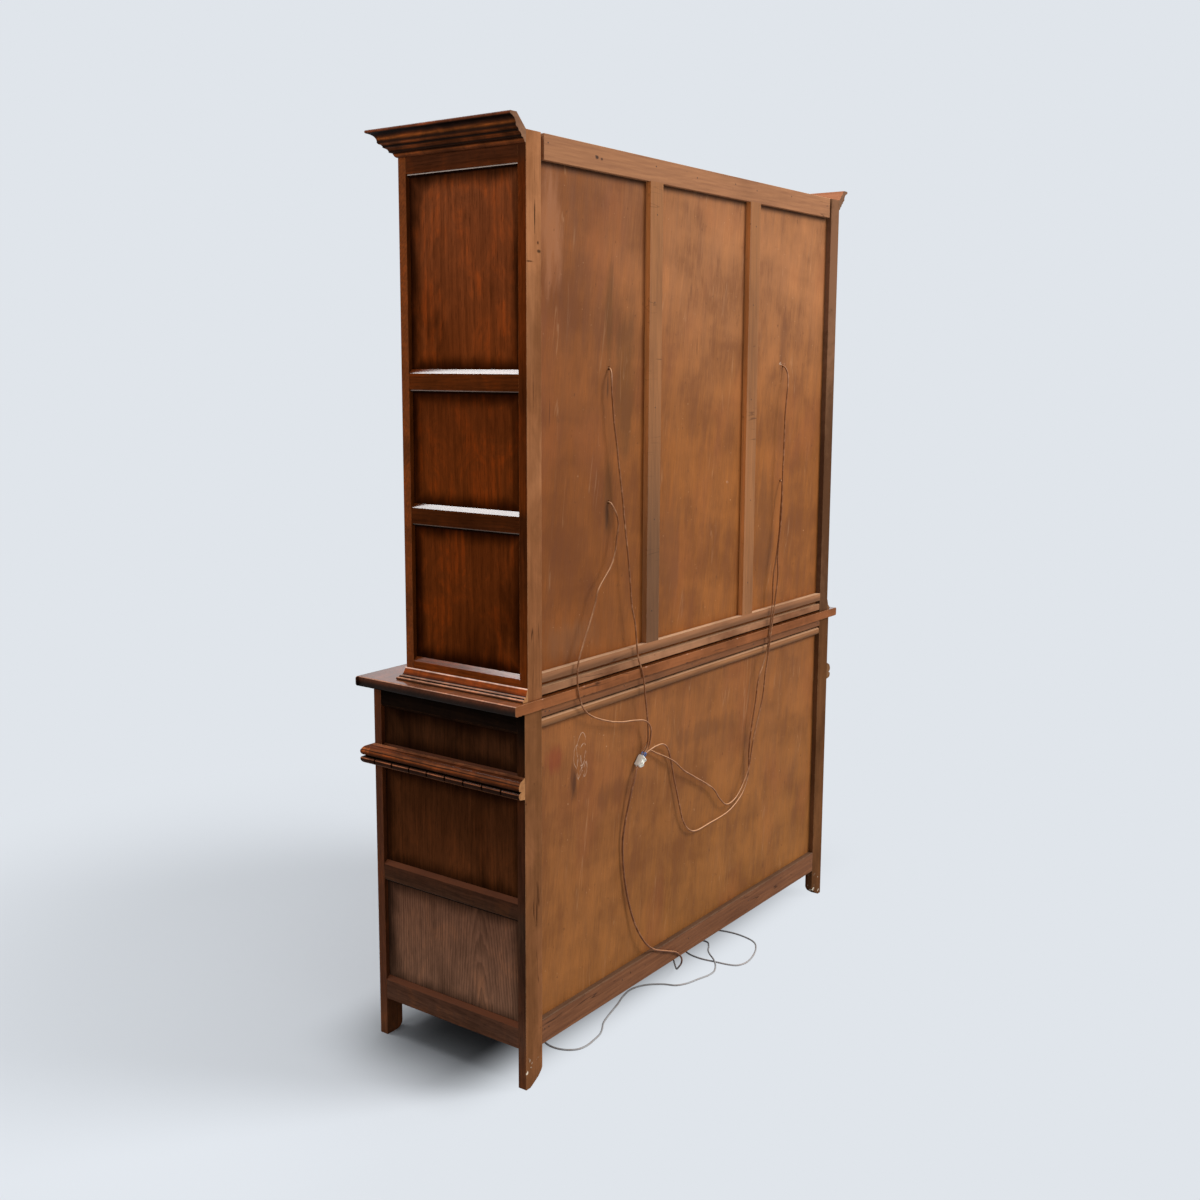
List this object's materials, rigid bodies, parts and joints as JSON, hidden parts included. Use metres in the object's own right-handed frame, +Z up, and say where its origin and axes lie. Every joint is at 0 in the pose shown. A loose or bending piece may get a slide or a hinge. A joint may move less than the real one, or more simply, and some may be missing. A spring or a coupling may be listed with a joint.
{
  "type": "display sideboard",
  "caption": "Display sideboard: a hutch with leaded-glass doors and open shelves on a base of drawers and cupboards, with cabinet-light wiring on its back.",
  "frame": {"origin": "on the floor, under the middle of the piece's width and depth", "axes": "+X along the width, to the right as seen from the front; the front faces -Y and the back +Y; +Z up"},
  "size_m": [1.3694, 0.5002, 1.9],
  "materials": {
    "stained_oak": "satin dark reddish-brown stained oak with an open grain",
    "oak_strip": "matte pale pinkish-brown rough strip",
    "back_ply": "matte blotchy brown plywood, scratched",
    "raw_board": "raw unfinished board",
    "pane_glass": "clear",
    "lead_came": "dull grey",
    "lamp_plastic": "off-white",
    "brown_flex": "brown sheath with a soft sheen",
    "terminal_plastic": "cream white",
    "plug_plastic": "brown"
  },
  "bodies": {
    "cabinet": {"base_back_batten": "oak_strip", "base_back_bottom_rail": "oak_strip", "base_back_sheet": "back_ply", "base_back_top_rail": "oak_strip", "base_bottom_board": "stained_oak", "base_drawer_deck": "raw_board", "base_face_frame": "stained_oak", "base_shelf": "stained_oak", "base_side_frame_left": "stained_oak", "base_side_frame_right": "stained_oak", "base_side_panel_left": "stained_oak", "base_side_panel_right": "stained_oak", "base_waist_moulding": "stained_oak", "cabinet_lamp_lower_left": "lamp_plastic", "cabinet_lamp_lower_right": "lamp_plastic", "cabinet_lamp_upper_left": "lamp_plastic", "cabinet_lamp_upper_right": "lamp_plastic", "flex_lower_left": "brown_flex", "flex_lower_right": "brown_flex", "flex_upper_left": "brown_flex", "flex_upper_right": "brown_flex", "hutch_back_frame": "oak_strip", "hutch_back_sheet": "back_ply", "hutch_bottom_board": "stained_oak", "hutch_cornice": "stained_oak", "hutch_face_frame": "stained_oak", "hutch_partition_left": "stained_oak", "hutch_partition_right": "stained_oak", "hutch_plinth_moulding": "stained_oak", "hutch_shelf_lower": "stained_oak", "hutch_shelf_upper": "stained_oak", "hutch_side_frame_left": "stained_oak", "hutch_side_frame_right": "stained_oak", "hutch_side_panel_left": "stained_oak", "hutch_side_panel_right": "stained_oak", "hutch_top_board": "stained_oak", "mains_lead": "brown_flex", "mains_plug": "plug_plastic", "tabletop": "stained_oak", "terminal_block": "terminal_plastic"},
    "hutch_door_left": {"hutch_door_left": "stained_oak", "hutch_door_glass_left": "pane_glass", "hutch_door_cames_left": "lead_came", "hutch_door_knob_left": "stained_oak"},
    "hutch_door_right": {"hutch_door_right": "stained_oak", "hutch_door_glass_right": "pane_glass", "hutch_door_cames_right": "lead_came", "hutch_door_knob_right": "stained_oak"},
    "base_door_left": {"base_door_left": "stained_oak", "base_door_knob_left": "stained_oak"},
    "drawer_left": {"drawer_left": "stained_oak", "drawer_knob_left": "stained_oak"},
    "base_door_centre": {"base_door_centre": "stained_oak", "base_door_knob_centre": "stained_oak"},
    "drawer_centre": {"drawer_centre": "stained_oak", "drawer_knob_centre": "stained_oak"},
    "base_door_right": {"base_door_right": "stained_oak", "base_door_knob_right": "stained_oak"},
    "drawer_right": {"drawer_right": "stained_oak", "drawer_knob_right": "stained_oak"}
  },
  "joints": [
    {"name": "hutch_door_left_hinge", "type": "hinge", "parent": "cabinet", "child": "hutch_door_left", "pos_m": [-0.595, -0.1109, 0.852], "axis": [0, 0, -1], "range_deg": [0, 100]},
    {"name": "hutch_door_right_hinge", "type": "hinge", "parent": "cabinet", "child": "hutch_door_right", "pos_m": [0.595, -0.1109, 0.852], "axis": [0, 0, 1], "range_deg": [0, 100]},
    {"name": "base_door_left_hinge", "type": "hinge", "parent": "cabinet", "child": "base_door_left", "pos_m": [-0.6015, -0.1989, 0.129], "axis": [0, 0, -1], "range_deg": [0, 100]},
    {"name": "base_door_centre_hinge", "type": "hinge", "parent": "cabinet", "child": "base_door_centre", "pos_m": [-0.183, -0.1989, 0.129], "axis": [0, 0, -1], "range_deg": [0, 100]},
    {"name": "base_door_right_hinge", "type": "hinge", "parent": "cabinet", "child": "base_door_right", "pos_m": [0.6015, -0.1989, 0.129], "axis": [0, 0, 1], "range_deg": [0, 100]},
    {"name": "drawer_left_slide", "type": "slide", "parent": "cabinet", "child": "drawer_left", "axis": [0, -1, 0], "range_m": [0, 0.26]},
    {"name": "drawer_centre_slide", "type": "slide", "parent": "cabinet", "child": "drawer_centre", "axis": [0, -1, 0], "range_m": [0, 0.26]},
    {"name": "drawer_right_slide", "type": "slide", "parent": "cabinet", "child": "drawer_right", "axis": [0, -1, 0], "range_m": [0, 0.26]}
  ]
}
